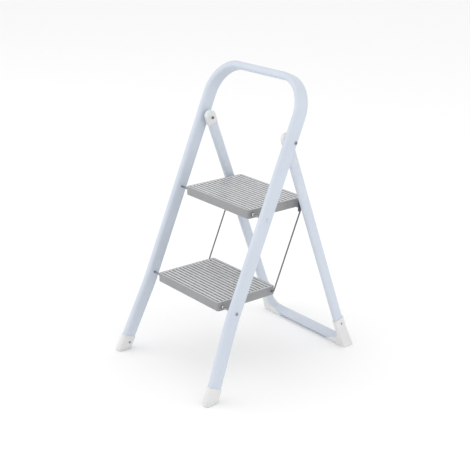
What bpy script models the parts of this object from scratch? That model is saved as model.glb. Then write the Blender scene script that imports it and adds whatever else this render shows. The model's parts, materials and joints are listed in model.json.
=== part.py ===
# Two-step folding step stool with a high hand rail, open and standing on the floor.
# Metres, +Z up, front of the stool towards -Y, floor at Z = 0.
import math

import bmesh
import bpy
from mathutils import Vector

for old in list(bpy.data.objects):
    bpy.data.objects.remove(old, do_unlink=True)

# Stance of the two frames.
front_lean = math.radians(23.2)
rear_lean = math.radians(20.0)
front_foot_y = -0.2561

# Front frame: flat-oval tube, upside-down U with feet that spread outwards.
front_half_span = 0.1840
front_tube = (0.0190, 0.0380, 0.0080)
front_wall = 0.0013
rail_height_along_leg = 0.8505
rail_bend_radius = 0.0920
spread_start = 0.2150
spread_slope = 0.0916
spread_bend = 0.0160
tube_end_above_floor = 0.0125

# Rear frame: flat-oval tube, U with its crossbar at the floor, inside the front frame.
rear_half_span = 0.1600
rear_tube = (0.0150, 0.0300, 0.0074)
rear_wall = 0.0012
rear_bend_radius = 0.0300
crossbar_height = 0.0133
rear_leg_above_pivot = 0.0080

# Pivot and axle positions, measured along the front legs from the floor.
pivot_along_leg = 0.6957
pivot_behind_leg = 0.0095
lower_axle_along_leg = 0.2401
upper_axle_along_leg = 0.4901
axle_radius = 0.0030
bolt_radius = 0.0030
running_gap = 0.0001
rest_gap = 0.0003

# Treads, measured from their axle.
tread_half_width = 0.1350
tread_front = -0.0152
tread_depth = 0.1914
tread_top = 0.0132
tread_bottom = -0.0099
tread_corner = 0.0080
tray_sheet = 0.0015
mat_thickness = 0.0030
groove_depth = 0.0016
mat_border = 0.0052
rib_count = 15
rib_pitch = 0.01155
first_rib = 0.0157
rib_width = 0.0062
rib_half_length = 0.1275

# Links, hooks and the rod they sit on.
link_pin_y = 0.1640
link_pin_z = 0.0013
link_radius = 0.0020
link_x = 0.1430
link_bend = 0.0040
hook_sheet = 0.0024
rear_rod_drop = 0.2038
rear_rod_back = 0.0812
rear_rod_radius = 0.0030

# Colours of the pieces (linear RGB) and their surface.
paint = ((0.60, 0.70, 0.84, 1.0), 0.0, 0.40)
steel = ((0.16, 0.17, 0.18, 1.0), 0.9, 0.40)
dark_plastic = ((0.17, 0.17, 0.175, 1.0), 0.0, 0.55)
grey_rubber = ((0.42, 0.42, 0.43, 1.0), 0.0, 0.60)
pale_plastic = ((0.74, 0.75, 0.77, 1.0), 0.0, 0.35)
black_steel = ((0.03, 0.03, 0.035, 1.0), 0.4, 0.45)


def add_object(name, mesh_data, parent, location, look, smooth=True):
    """Makes the node, gives it its own material and shades its round faces smooth."""
    mesh = bpy.data.meshes.new(name)
    mesh_data.to_mesh(mesh)
    mesh_data.free()
    node = bpy.data.objects.new(name, mesh)
    bpy.context.scene.collection.objects.link(node)
    node.parent = parent
    node.location = location
    if look is not None:
        material = bpy.data.materials.new(name + "_material")
        material.use_nodes = True
        surface = material.node_tree.nodes["Principled BSDF"]
        colour, metallic, roughness = look
        surface.inputs["Base Color"].default_value = colour
        surface.inputs["Metallic"].default_value = metallic
        surface.inputs["Roughness"].default_value = roughness
        mesh.materials.append(material)
    if smooth:
        mesh.shade_smooth()
        mesh.set_sharp_from_angle(angle=math.radians(35))
    return node


def add_empty(name, parent, location, rotation_x):
    """An empty that holds the nodes which turn together, with its origin on their joint axis."""
    holder = bpy.data.objects.new(name, None)
    holder.empty_display_size = 0.05
    bpy.context.scene.collection.objects.link(holder)
    holder.parent = parent
    holder.location = location
    holder.rotation_euler = (rotation_x, 0, 0)
    return holder


def rounded_ring(half_width, half_depth, radius, steps=4):
    """Points of a rounded rectangle, counter-clockwise, as (across, along) pairs."""
    points = []
    for corner in range(4):
        sign_a = (1, -1, -1, 1)[corner]
        sign_b = (1, 1, -1, -1)[corner]
        for step in range(steps + 1):
            turn = math.pi / 2 * (corner + step / steps)
            points.append(
                (
                    sign_a * (half_width - radius) + radius * math.cos(turn),
                    sign_b * (half_depth - radius) + radius * math.sin(turn),
                )
            )
    return points


def oval_ring(tube, grow=0.0, steps=4):
    width, depth, radius = tube
    return rounded_ring(width / 2 + grow, depth / 2 + grow, radius + grow, steps)


def circle_ring(radius, steps=24):
    return [
        (radius * math.cos(2 * math.pi * i / steps), radius * math.sin(2 * math.pi * i / steps))
        for i in range(steps)
    ]


def arc(centre, radius, start, end, steps):
    """Points of an arc in a plane, angles in degrees."""
    points = []
    for i in range(steps + 1):
        turn = math.radians(start + (end - start) * i / steps)
        points.append((centre[0] + radius * math.cos(turn), centre[1] + radius * math.sin(turn)))
    return points


def rings_along(path, section):
    """Rings of a section carried along a path in the XZ plane. Section pairs are (in plane, along Y)."""
    rings = []
    for i, (x, z) in enumerate(path):
        before = Vector(path[max(i - 1, 0)])
        after = Vector(path[min(i + 1, len(path) - 1)])
        here = Vector((x, z))
        ahead = (after - here).normalized() if i < len(path) - 1 else (here - before).normalized()
        behind = (here - before).normalized() if i else ahead
        tangent = (ahead + behind).normalized()
        mitre = 1 / max(tangent.dot(ahead), 0.5)
        side = Vector((tangent.y, -tangent.x)) * mitre
        rings.append([Vector((x + side.x * u, v, z + side.y * u)) for u, v in section])
    return rings


def add_rings(data, rings, flip=False):
    made = [[data.verts.new(point) for point in ring] for ring in rings]
    for first, second in zip(made, made[1:]):
        for i in range(len(first)):
            j = (i + 1) % len(first)
            data.faces.new((first[i], first[j], second[j], second[i]))
    return made


def solid_of_rings(rings, into=None):
    """A closed body through the rings, with flat ends."""
    data = into or bmesh.new()
    made = add_rings(data, rings)
    data.faces.new(made[0])
    data.faces.new(made[-1])
    bmesh.ops.recalc_face_normals(data, faces=data.faces)
    return data


def pipe_of_rings(outer, inner):
    """A pipe that is open at both ends."""
    data = bmesh.new()
    shell = add_rings(data, outer)
    bore = add_rings(data, inner)
    for end in (0, -1):
        for i in range(len(shell[end])):
            j = (i + 1) % len(shell[end])
            data.faces.new((shell[end][i], shell[end][j], bore[end][j], bore[end][i]))
    bmesh.ops.recalc_face_normals(data, faces=data.faces)
    return data


def rod(radius, start, end, y=0.0, z=0.0, steps=24, into=None):
    """A round bar along X."""
    rings = []
    for x in (start, end):
        rings.append([Vector((x, y + a, z + b)) for a, b in circle_ring(radius, steps)])
    return solid_of_rings(rings, into)


def turned(profile, y=0.0, z=0.0, steps=24, into=None):
    """A turned piece along X from (x, radius) pairs."""
    rings = []
    for x, radius in profile:
        rings.append([Vector((x, y + a, z + b)) for a, b in circle_ring(radius, steps)])
    return solid_of_rings(rings, into)


def block(low, high, into=None):
    x0, y0, z0 = low
    x1, y1, z1 = high
    rings = []
    for z in (z0, z1):
        rings.append([Vector(p) for p in ((x0, y0, z), (x1, y0, z), (x1, y1, z), (x0, y1, z))])
    return solid_of_rings(rings, into)


def plate(outline, start, end, into=None):
    """A flat plate from (y, z) pairs, with its faces across X."""
    rings = []
    for x in (start, end):
        rings.append([Vector((x, y, z)) for y, z in outline])
    return solid_of_rings(rings, into)


def shape_with(node, name, mesh_data, operation="DIFFERENCE"):
    """Cuts from a node, or joins to it, a hidden helper that shares the node's place."""
    helper = add_object(name, mesh_data, node.parent, node.location, None, smooth=False)
    helper.hide_render = True
    helper.display_type = "WIRE"
    modifier = node.modifiers.new(name, "BOOLEAN")
    modifier.operation = operation
    modifier.solver = "EXACT"
    modifier.object = helper
    return helper


# Holders: the front frame is fixed, the others turn.
front_plane = add_empty("front_plane", None, (0, front_foot_y, 0), -front_lean)
rear_pivot = add_empty(
    "rear_pivot", front_plane, (0, pivot_behind_leg, pivot_along_leg), front_lean + rear_lean
)
upper_pivot = add_empty("upper_tread_pivot", front_plane, (0, 0, upper_axle_along_leg), front_lean)
lower_pivot = add_empty("lower_tread_pivot", front_plane, (0, 0, lower_axle_along_leg), front_lean)


def foot_x(along_leg):
    """Half span of the front legs' centre lines below the spread bend."""
    return front_half_span + spread_slope * (spread_start - along_leg)


# Front frame.
def front_path():
    spread = math.atan(spread_slope)
    right = [(foot_x(tube_end_above_floor), tube_end_above_floor)]
    for i in range(5):
        part = i / 4
        along = spread_start - spread_bend * (1 - 2 * part)
        right.append(
            (front_half_span + spread_slope * spread_bend * (1 - part) ** 2, along)
        )
    corner = (front_half_span - rail_bend_radius, rail_height_along_leg - rail_bend_radius)
    right += arc(corner, rail_bend_radius, 0, 90, 9)
    left = [(-x, z) for x, z in reversed(right)]
    return right + left


front_stations = front_path()
front_frame = add_object(
    "front_frame",
    pipe_of_rings(
        rings_along(front_stations, oval_ring(front_tube)),
        rings_along(front_stations, oval_ring(front_tube, -front_wall)),
    ),
    front_plane,
    (0, 0, 0),
    paint,
)
holes = bmesh.new()
for side in (-1, 1):
    wall_from = side * (front_half_span - 0.015)
    wall_to = side * (front_half_span + 0.015)
    for along in (lower_axle_along_leg, upper_axle_along_leg):
        rod(axle_radius + running_gap, wall_from, wall_to, 0, along, 24, holes)
    rod(bolt_radius + running_gap, wall_from, wall_to, pivot_behind_leg, pivot_along_leg, 24, holes)
    screw_x = foot_x(0.026)
    rod(0.0016, side * (screw_x - 0.014), side * (screw_x - 0.002), 0.004, 0.026, 16, holes)
shape_with(front_frame, "front_frame_holes", holes)


# Rear frame.
rear_drop = (pivot_along_leg * math.cos(front_lean) - pivot_behind_leg * math.sin(front_lean))
crossbar_z = -(rear_drop - crossbar_height) / math.cos(rear_lean)


def rear_path(top):
    corner = (rear_half_span - rear_bend_radius, crossbar_z + rear_bend_radius)
    right = [(rear_half_span, top)] + arc(corner, rear_bend_radius, 0, -90, 7)
    return right


rear_right = rear_path(rear_leg_above_pivot)
rear_stations = rear_right + [(-x, z) for x, z in reversed(rear_right)]
rear_frame = add_object(
    "rear_frame",
    pipe_of_rings(
        rings_along(rear_stations, oval_ring(rear_tube)),
        rings_along(rear_stations, oval_ring(rear_tube, -rear_wall)),
    ),
    rear_pivot,
    (0, 0, 0),
    paint,
)
rod_down = -(rear_rod_drop * math.cos(rear_lean) + rear_rod_back * math.sin(rear_lean))
rod_back = rear_rod_back * math.cos(rear_lean) - rear_rod_drop * math.sin(rear_lean)
shoe_screw = (0.002, crossbar_z + 0.0640)
holes = bmesh.new()
for side in (-1, 1):
    rod(bolt_radius + running_gap, side * 0.145, side * 0.175, 0, 0, 24, holes)
    rod(rear_rod_radius + rest_gap, side * 0.145, side * 0.160, rod_back, rod_down, 24, holes)
    rod(0.0016, side * 0.160, side * 0.175, shoe_screw[0], shoe_screw[1], 16, holes)
shape_with(rear_frame, "rear_frame_holes", holes)
add_object(
    "rear_cross_rod",
    rod(rear_rod_radius, -rear_half_span + 0.003, rear_half_span - 0.003),
    rear_pivot,
    (0, rod_back, rod_down),
    steel,
)


# Front feet: sleeves with a level sole.
def level_ring(half_width, half_depth, radius, height):
    """A ring level with the floor, in the tilted coordinates of the front legs."""
    ring = []
    for u, v in rounded_ring(half_width, half_depth, radius):
        along = height / math.cos(front_lean) + v * math.sin(front_lean)
        ring.append(Vector((u - spread_slope * along, v * math.cos(front_lean), along)))
    return ring


def square_ring(half_width, half_depth, radius, along):
    """A ring square to the front leg."""
    return [
        Vector((u - spread_slope * along, v, along))
        for u, v in rounded_ring(half_width, half_depth, radius)
    ]


def mirrored(data, side):
    """The same body on the left or on the right."""
    if side < 0:
        bmesh.ops.scale(data, vec=(-1, 1, 1), verts=data.verts)
        bmesh.ops.reverse_faces(data, faces=data.faces)
    return data


def front_foot(side):
    rings = [
        level_ring(0.0088, 0.0165, 0.0060, 0.0),
        level_ring(0.0103, 0.0192, 0.0072, 0.0012),
        level_ring(0.0112, 0.0218, 0.0082, 0.0040),
        square_ring(0.0114, 0.0209, 0.0092, 0.0260),
        square_ring(0.0112, 0.0207, 0.0090, 0.0425),
        square_ring(0.0107, 0.0202, 0.0086, 0.0440),
    ]
    return mirrored(solid_of_rings(rings), side)


def foot_pocket(side):
    clear = rest_gap
    rings = []
    for along in (tube_end_above_floor - 0.0016, 0.0500):
        rings.append(
            square_ring(
                front_tube[0] / 2 + clear, front_tube[1] / 2 + clear, front_tube[2] + clear, along
            )
        )
    return mirrored(solid_of_rings(rings), side)


def pan_screw(side, outside, y, z, inward, gap=0.0002):
    """A small pan-head screw along X. It starts at the face it sits on and runs the other way."""
    head = outside + side * gap
    profile = [
        (head + side * 0.0012, 0.0018),
        (head + side * 0.0009, 0.0027),
        (head, 0.0031),
        (head, 0.0013),
        (head - side * inward, 0.0013),
    ]
    return turned(profile, y, z, 20)


for side, word in ((-1, "left"), (1, "right")):
    place = (side * foot_x(0.0), 0, 0)
    foot = add_object("front_foot_" + word, front_foot(side), front_plane, place, pale_plastic)
    shape_with(foot, "front_foot_pocket_" + word, foot_pocket(side))
    # The screw goes through the sleeve's inner face.
    reach = foot_x(0.026) - foot_x(0.0)
    inner_face = side * (reach - 0.0114)
    hole = rod(0.0016, inner_face - side * 0.004, inner_face + side * 0.006, 0.004, 0.026, 16)
    shape_with(foot, "front_foot_screw_hole_" + word, hole)
    add_object(
        "front_foot_screw_" + word,
        pan_screw(-side, inner_face, 0.004, 0.026, 0.0055, 0.0006),
        front_plane,
        place,
        steel,
    )


# Rear shoes: moulded elbows round the corners of the rear frame, with a level sole.
# They are open on the inner side of the bend, where the tube shows.
shoe_top = crossbar_z + 0.0800
shoe_inner_x = rear_half_span - rear_tube[0] / 2 + 0.0004
shoe_outer_x = rear_half_span + rear_tube[0] / 2 + 0.0020


def shoe_outline(inset):
    """Shape of a shoe in the plane of the rear frame, as (x, up) pairs, drawn in by inset."""
    fillet = rear_bend_radius - rear_tube[0] / 2 + 0.0004
    inner = inset * 1.5
    corner = (rear_half_span - rear_bend_radius, crossbar_z + rear_bend_radius)
    points = [
        (shoe_outer_x - inset, shoe_top),
        (shoe_inner_x + inner, shoe_top),
    ]
    points += arc(corner, fillet + inner, 0, -80, 7)
    points += [
        (0.1250 + inset, crossbar_z + 0.0071 - inner),
        (0.0990 + inset, crossbar_z - 0.0060),
        (0.0990 + inset, crossbar_z - 0.0240),
        (0.1700 - inset, crossbar_z - 0.0240),
        (0.1765 - inset, crossbar_z - 0.0180),
        (0.1775 - inset, crossbar_z - 0.0100),
        (0.1745 - inset, crossbar_z + 0.0080),
        (0.1713 - inset, crossbar_z + 0.0260),
        (shoe_outer_x - inset, crossbar_z + 0.0420),
    ]
    return points


def pocket_path():
    return rear_path(shoe_top + 0.02) + [(0.060, crossbar_z)]


for side, word in ((-1, "left"), (1, "right")):
    rings = []
    for depth, inset in (
        (-0.0170, 0.0052),
        (-0.0161, 0.0028),
        (-0.0142, 0.0010),
        (-0.0115, 0.0),
        (0.0115, 0.0),
        (0.0142, 0.0010),
        (0.0161, 0.0028),
        (0.0170, 0.0052),
    ):
        rings.append([Vector((x, depth, z)) for x, z in shoe_outline(inset)])
    shoe = add_object(
        "rear_shoe_" + word, mirrored(solid_of_rings(rings), side), rear_pivot, (0, 0, 0), pale_plastic
    )
    # The sole is cut level with the floor.
    below = []
    for up in (-0.0400, 0.0):
        rise = up - crossbar_height
        ring = []
        for u, v in ((0.06, -0.05), (0.20, -0.05), (0.20, 0.05), (0.06, 0.05)):
            across = v * math.cos(rear_lean) + rise * math.sin(rear_lean)
            upwards = crossbar_z + rise * math.cos(rear_lean) - v * math.sin(rear_lean)
            ring.append(Vector((u, across, upwards)))
        below.append(ring)
    shape_with(shoe, "rear_shoe_floor_" + word, mirrored(solid_of_rings(below), side))
    pocket = solid_of_rings(rings_along(pocket_path(), oval_ring(rear_tube, rest_gap)))
    shape_with(shoe, "rear_shoe_pocket_" + word, mirrored(pocket, side))
    outer_face = side * shoe_outer_x
    hole = rod(
        0.0016, outer_face - side * 0.006, outer_face + side * 0.004, shoe_screw[0], shoe_screw[1], 16
    )
    shape_with(shoe, "rear_shoe_screw_hole_" + word, hole)
    add_object(
        "rear_shoe_screw_" + word,
        pan_screw(side, outer_face, shoe_screw[0], shoe_screw[1], 0.0055),
        rear_pivot,
        (0, 0, 0),
        steel,
    )


# Caps on the top ends of the rear legs.
def cap_outline(inset):
    half = 0.0160 - inset
    low = -0.0190 + inset / 2
    points = [(-half, low), (half, low)]
    points += arc((0, 0.0045), half, 0, 180, 12)
    return points


for side, word in ((-1, "left"), (1, "right")):
    rings = []
    for x, inset in (
        (-0.0093, 0.0072),
        (-0.0088, 0.0042),
        (-0.0076, 0.0020),
        (-0.0056, 0.0006),
        (-0.0034, 0.0),
        (0.0034, 0.0),
        (0.0056, 0.0006),
        (0.0076, 0.0020),
        (0.0088, 0.0042),
        (0.0093, 0.0072),
    ):
        rings.append([Vector((x, y, z)) for y, z in cap_outline(inset)])
    cap = add_object(
        "rear_cap_" + word, solid_of_rings(rings), rear_pivot, (side * rear_half_span, 0, 0), pale_plastic
    )
    pocket = solid_of_rings(
        [
            [Vector((u, v, z)) for u, v in oval_ring(rear_tube, 0.0002)]
            for z in (-0.03, rear_leg_above_pivot + rest_gap)
        ]
    )
    shape_with(cap, "rear_cap_pocket_" + word, pocket)
    shape_with(cap, "rear_cap_hole_" + word, rod(bolt_radius + running_gap, -0.02, 0.02))


# Pivot bolts: head outside the front leg, spacer between the frames, cap nut inside.
bolt_inner = rear_half_span - 0.0093 - rest_gap
front_outer = front_half_span + front_tube[0] / 2
front_inner = front_half_span - front_tube[0] / 2
for side, word in ((-1, "left"), (1, "right")):
    place = (0, pivot_behind_leg, pivot_along_leg)
    head = front_outer + rest_gap
    bolt = [
        (side * (head + 0.0024), 0.0022),
        (side * (head + 0.0019), 0.0036),
        (side * (head + 0.0006), 0.0045),
        (side * head, 0.0045),
        (side * head, bolt_radius),
        (side * (bolt_inner - 0.0030), bolt_radius),
    ]
    add_object("pivot_bolt_" + word, turned(bolt), front_plane, place, steel)
    spacer_from = rear_half_span + 0.0093 + rest_gap
    spacer_to = front_inner - rest_gap
    spacer = pipe_of_rings(
        [[Vector((side * x, a, b)) for a, b in circle_ring(0.0065)] for x in (spacer_from, spacer_to)],
        [
            [Vector((side * x, a, b)) for a, b in circle_ring(bolt_radius + rest_gap)]
            for x in (spacer_from, spacer_to)
        ],
    )
    add_object("pivot_spacer_" + word, spacer, front_plane, place, pale_plastic)
    nut = [
        (side * bolt_inner, 0.0050),
        (side * (bolt_inner - 0.0032), 0.0050),
        (side * (bolt_inner - 0.0046), 0.0036),
        (side * (bolt_inner - 0.0052), 0.0018),
    ]
    nut_node = add_object("pivot_nut_" + word, turned(nut, 0, 0, 12), front_plane, place, steel)
    shape_with(
        nut_node,
        "pivot_nut_hole_" + word,
        rod(bolt_radius + rest_gap, side * (bolt_inner + 0.002), side * (bolt_inner - 0.0033)),
    )


# Axles of the treads, their bushes beside the treads and their heads outside the front legs.
for level, along, head_look in (
    ("lower", lower_axle_along_leg, steel),
    ("upper", upper_axle_along_leg, paint),
):
    place = (0, 0, along)
    add_object(
        level + "_axle",
        rod(axle_radius, -front_outer + 0.0002, front_outer - 0.0002),
        front_plane,
        place,
        steel,
    )
    for side, word in ((-1, "left"), (1, "right")):
        bush_x = (tread_half_width + rest_gap, tread_half_width + 0.0054)
        bush = pipe_of_rings(
            [[Vector((side * x, a, b)) for a, b in circle_ring(0.0056)] for x in bush_x],
            [
                [Vector((side * x, a, b)) for a, b in circle_ring(axle_radius + rest_gap)]
                for x in bush_x
            ],
        )
        add_object(level + "_axle_bush_" + word, bush, front_plane, place, pale_plastic)
        head = front_outer + rest_gap
        button = [
            (side * head, 0.0042),
            (side * (head + 0.0008), 0.0042),
            (side * (head + 0.0019), 0.0031),
            (side * (head + 0.0023), 0.0014),
        ]
        add_object(level + "_axle_head_" + word, turned(button), front_plane, place, head_look)


# Treads: a pressed tray with a skirt, and a ribbed mat on it.
def tread_ring(inset, height, radius):
    """A level ring round the tread, drawn in by inset."""
    middle = tread_front + tread_depth / 2
    ring = rounded_ring(tread_half_width - inset, tread_depth / 2 - inset, radius, 5)
    return [Vector((u, v + middle, height)) for u, v in ring]


tray_top = tread_top - mat_thickness - rest_gap


def tray(name, holder):
    outer = solid_of_rings(
        [
            tread_ring(0.0, tread_bottom, tread_corner),
            tread_ring(0.0, tray_top - 0.0012, tread_corner),
            tread_ring(0.0008, tray_top, tread_corner - 0.0008),
        ]
    )
    node = add_object(name, outer, holder, (0, 0, 0), dark_plastic)
    inner = solid_of_rings(
        [
            tread_ring(tray_sheet, tread_bottom - 0.005, tread_corner - tray_sheet),
            tread_ring(tray_sheet, tray_top - tray_sheet, tread_corner - tray_sheet),
        ]
    )
    shape_with(node, name + "_hollow", inner)
    webs = bmesh.new()
    for x in (-0.0675, 0.0, 0.0675):
        back = tread_front + tread_depth - 0.0008
        block(
            (x - 0.0010, tread_front + 0.0008, tread_bottom + 0.0040),
            (x + 0.0010, back, tray_top - 0.0008),
            webs,
        )
    shape_with(node, name + "_webs", webs, "UNION")
    holes = rod(axle_radius + running_gap, -0.15, 0.15)
    for side in (-1, 1):
        rod(
            link_radius + running_gap, side * 0.125, side * 0.15, link_pin_y, link_pin_z, 20, holes
        )
    return node, holes


def mat(name, holder):
    low = tread_top - mat_thickness
    slab = solid_of_rings(
        [
            tread_ring(0.0003, low, tread_corner - 0.0003),
            tread_ring(0.0003, tread_top - 0.0006, tread_corner - 0.0003),
            tread_ring(0.0009, tread_top, tread_corner - 0.0009),
        ]
    )
    node = add_object(name, slab, holder, (0, 0, 0), grey_rubber)
    field = solid_of_rings(
        [
            tread_ring(mat_border, tread_top - groove_depth, 0.0035),
            tread_ring(mat_border, tread_top + 0.004, 0.0035),
        ]
    )
    shape_with(node, name + "_field", field)
    ribs = bmesh.new()
    for i in range(rib_count):
        y = tread_front + first_rib + i * rib_pitch
        crown = rib_width / 2
        outline = [
            (y - crown, tread_top - groove_depth - 0.0005),
            (y + crown, tread_top - groove_depth - 0.0005),
            (y + crown - 0.0002, tread_top - 0.0005),
            (y + crown - 0.0008, tread_top),
            (y - crown + 0.0008, tread_top),
            (y - crown + 0.0002, tread_top - 0.0005),
        ]
        plate(outline, -rib_half_length, rib_half_length, ribs)
    shape_with(node, name + "_ribs", ribs, "UNION")
    return node


for level, holder in (("lower", lower_pivot), ("upper", upper_pivot)):
    tray_node, tray_holes = tray(level + "_tread_tray", holder)
    if level == "upper":
        for side in (-1, 1):
            for y in (0.1560, 0.1735):
                rod(0.0016, side * 0.125, side * 0.15, y, 0.0058, 16, tray_holes)
    shape_with(tray_node, level + "_tread_tray_holes", tray_holes)
    mat(level + "_tread_mat", holder)


# Hook plates on the sides of the upper tread. They sit over the rod of the rear frame.
rod_y = pivot_behind_leg * math.cos(front_lean) + pivot_along_leg * math.sin(front_lean) + rear_rod_back
rod_z = rear_drop - rear_rod_drop
hook_rod_y = rod_y - upper_axle_along_leg * math.sin(front_lean)
hook_rod_z = rod_z - upper_axle_along_leg * math.cos(front_lean)


def hook_outline():
    """Side view of the hook. Its mouth opens down and forwards, the way the rod leaves it."""
    seat = rear_rod_radius + 0.0004
    points = [
        (hook_rod_y - 0.0150, 0.0092),
        (hook_rod_y - 0.0165, 0.0075),
        (hook_rod_y - 0.0150, -0.0090),
        (hook_rod_y - 0.0180, -0.0145),
        (hook_rod_y - 0.0180, -0.0200),
        (hook_rod_y - 0.0150, hook_rod_z - 0.0055),
        (hook_rod_y - 0.0105, hook_rod_z - 0.0055),
    ]
    points += [
        (hook_rod_y + y, hook_rod_z + z) for y, z in arc((0, 0), seat, 148, -8, 10)
    ]
    points += [
        (hook_rod_y + 0.0042, hook_rod_z - 0.0060),
        (hook_rod_y + 0.0075, hook_rod_z - 0.0060),
        (hook_rod_y + 0.0085, hook_rod_z - 0.0020),
        (hook_rod_y + 0.0085, 0.0070),
        (hook_rod_y + 0.0060, 0.0092),
    ]
    return points


rivet_places = ((0.1560, 0.0058), (0.1735, 0.0058))
for side, word in ((-1, "left"), (1, "right")):
    plate_from = side * (tread_half_width + rest_gap)
    plate_to = side * (tread_half_width + rest_gap + hook_sheet)
    hook = add_object(
        "hook_plate_" + word,
        plate(hook_outline(), plate_from, plate_to),
        upper_pivot,
        (0, 0, 0),
        black_steel,
        smooth=False,
    )
    holes = rod(link_radius + running_gap, side * 0.130, side * 0.145, link_pin_y, link_pin_z, 20)
    for y, z in rivet_places:
        rod(0.0016, side * 0.130, side * 0.145, y, z, 16, holes)
    shape_with(hook, "hook_plate_holes_" + word, holes)
    for number, (y, z) in enumerate(rivet_places):
        face = plate_to + side * rest_gap * 0.5
        rivet = [
            (face + side * 0.0011, 0.0013),
            (face + side * 0.0008, 0.0023),
            (face, 0.0029),
            (face, 0.0013),
            (side * (tread_half_width - tray_sheet - 0.0008), 0.0013),
        ]
        add_object(
            "hook_rivet_" + word + "_" + str(number + 1),
            turned(rivet, y, z, 16),
            upper_pivot,
            (0, 0, 0),
            steel,
        )


# Wire links: parallel to the front legs, their ends bent inwards through the treads' sides.
link_length = upper_axle_along_leg - lower_axle_along_leg
for side, word in ((-1, "left"), (1, "right")):
    pin_end = -(link_x - tread_half_width + tray_sheet + 0.0035)
    path = [(pin_end, 0.0)]
    path += arc((-link_bend, -link_bend), link_bend, 90, 0, 5)
    path += arc((-link_bend, -link_length + link_bend), link_bend, 0, -90, 5)
    path += [(pin_end, -link_length)]
    link = solid_of_rings(rings_along([(x * side, z) for x, z in path], circle_ring(link_radius, 20)))
    pin = add_empty(
        "wire_pivot_" + word, upper_pivot, (side * link_x, link_pin_y, link_pin_z), -front_lean
    )
    add_object("wire_link_" + word, link, pin, (0, 0, 0), steel)
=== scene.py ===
import json
import math

import bmesh
import bpy
from mathutils import Matrix, Vector


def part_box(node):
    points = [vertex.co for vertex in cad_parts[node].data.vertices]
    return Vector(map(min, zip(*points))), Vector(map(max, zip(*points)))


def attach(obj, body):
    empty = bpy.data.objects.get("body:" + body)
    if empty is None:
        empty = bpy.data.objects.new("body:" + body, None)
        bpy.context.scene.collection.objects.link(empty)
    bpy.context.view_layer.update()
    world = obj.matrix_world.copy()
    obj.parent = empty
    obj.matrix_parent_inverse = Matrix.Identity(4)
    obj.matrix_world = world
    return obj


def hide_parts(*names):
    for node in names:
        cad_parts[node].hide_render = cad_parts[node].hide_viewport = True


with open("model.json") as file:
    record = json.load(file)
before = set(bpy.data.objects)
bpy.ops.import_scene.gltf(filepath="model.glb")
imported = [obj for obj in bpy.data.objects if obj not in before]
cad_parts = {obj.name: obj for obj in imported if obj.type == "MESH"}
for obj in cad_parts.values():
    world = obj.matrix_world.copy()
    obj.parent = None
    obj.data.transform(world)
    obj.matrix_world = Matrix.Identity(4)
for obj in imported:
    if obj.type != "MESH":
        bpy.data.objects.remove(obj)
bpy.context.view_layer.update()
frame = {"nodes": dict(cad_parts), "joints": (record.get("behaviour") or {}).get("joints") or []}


# ---- where things are ----

jointSpot = {joint["name"]: Vector(joint["pos_m"]) for joint in frame["joints"]}
lowerAxle = jointSpot["lower_tread_fold"]
upperAxle = jointSpot["upper_tread_fold"]
rearPivot = jointSpot["rear_fold"]
axleStep = upperAxle - lowerAxle
frontLean = math.atan2(axleStep.y, axleStep.z)
rearLean = math.radians(-20.0)  # the rear legs lean the other way
legOnFloor = lowerAxle - axleStep * (lowerAxle.z / axleStep.z)
sides = {"left": -1, "right": 1}


def legPlane(origin, lean):
    # local x runs across the stool, y up the leg, z out of the front of the leg
    across = Vector((1, 0, 0))
    up = Vector((0, math.sin(lean), math.cos(lean)))
    place = Matrix((across, up, across.cross(up))).transposed().to_4x4()
    place.translation = origin
    return place


def sidePlane(origin, lean=0.0):
    # local x runs to the back, y up, z to the right: a side view
    behind = Vector((0, math.cos(lean), -math.sin(lean)))
    up = Vector((0, math.sin(lean), math.cos(lean)))
    place = Matrix((behind, up, behind.cross(up))).transposed().to_4x4()
    place.translation = origin
    return place


frontPlane = legPlane(legOnFloor, frontLean)
rearPlane = legPlane(rearPivot, rearLean)


# ---- shader groups ----

def feed(tree, socket, value):
    if isinstance(value, bpy.types.NodeSocket):
        tree.links.new(value, socket)
    else:
        socket.default_value = value


def addNode(tree, kind, inputs=None, **settings):
    node = tree.nodes.new(kind)
    for key, value in settings.items():
        setattr(node, key, value)
    for key, value in (inputs or {}).items():
        feed(tree, node.inputs[key], value)
    return node


def sums(tree, operation, first, second):
    return addNode(tree, "ShaderNodeMath", {0: first, 1: second}, operation=operation).outputs[0]


def noise(tree, vector, scale, detail):
    inputs = {"Vector": vector, "Scale": scale, "Detail": detail}
    return addNode(tree, "ShaderNodeTexNoise", inputs).outputs["Fac"]


def spread(tree, value, low, high, fromLow=0.3, fromHigh=0.7):
    # the value's own range laid over the range from low to high
    inputs = {"Value": value, "From Min": fromLow, "From Max": fromHigh, "To Min": low, "To Max": high}
    return addNode(tree, "ShaderNodeMapRange", inputs).outputs["Result"]


def newShaderGroup(name, inputs, outputs):
    group = bpy.data.node_groups.new(name, "ShaderNodeTree")
    for label, value in inputs.items():
        if value is None:
            group.interface.new_socket(label, in_out="INPUT", socket_type="NodeSocketVector")
        else:
            socket = group.interface.new_socket(label, in_out="INPUT", socket_type="NodeSocketFloat")
            socket.default_value = value
    for label in outputs:
        group.interface.new_socket(label, in_out="OUTPUT", socket_type="NodeSocketFloat")
    given = group.nodes.new("NodeGroupInput").outputs
    result = group.nodes.new("NodeGroupOutput").inputs
    return group, given, result


def makeCoatRipple():
    # the soft orange-peel of sprayed powder and slow drifts of tone under it
    group, given, result = newShaderGroup("coatRipple", {"Vector": None, "Scale": 420.0}, ["Height", "Tone"])
    group.links.new(noise(group, given["Vector"], given["Scale"], 1.5), result["Height"])
    group.links.new(noise(group, given["Vector"], 9.0, 3.0), result["Tone"])
    return group


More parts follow.
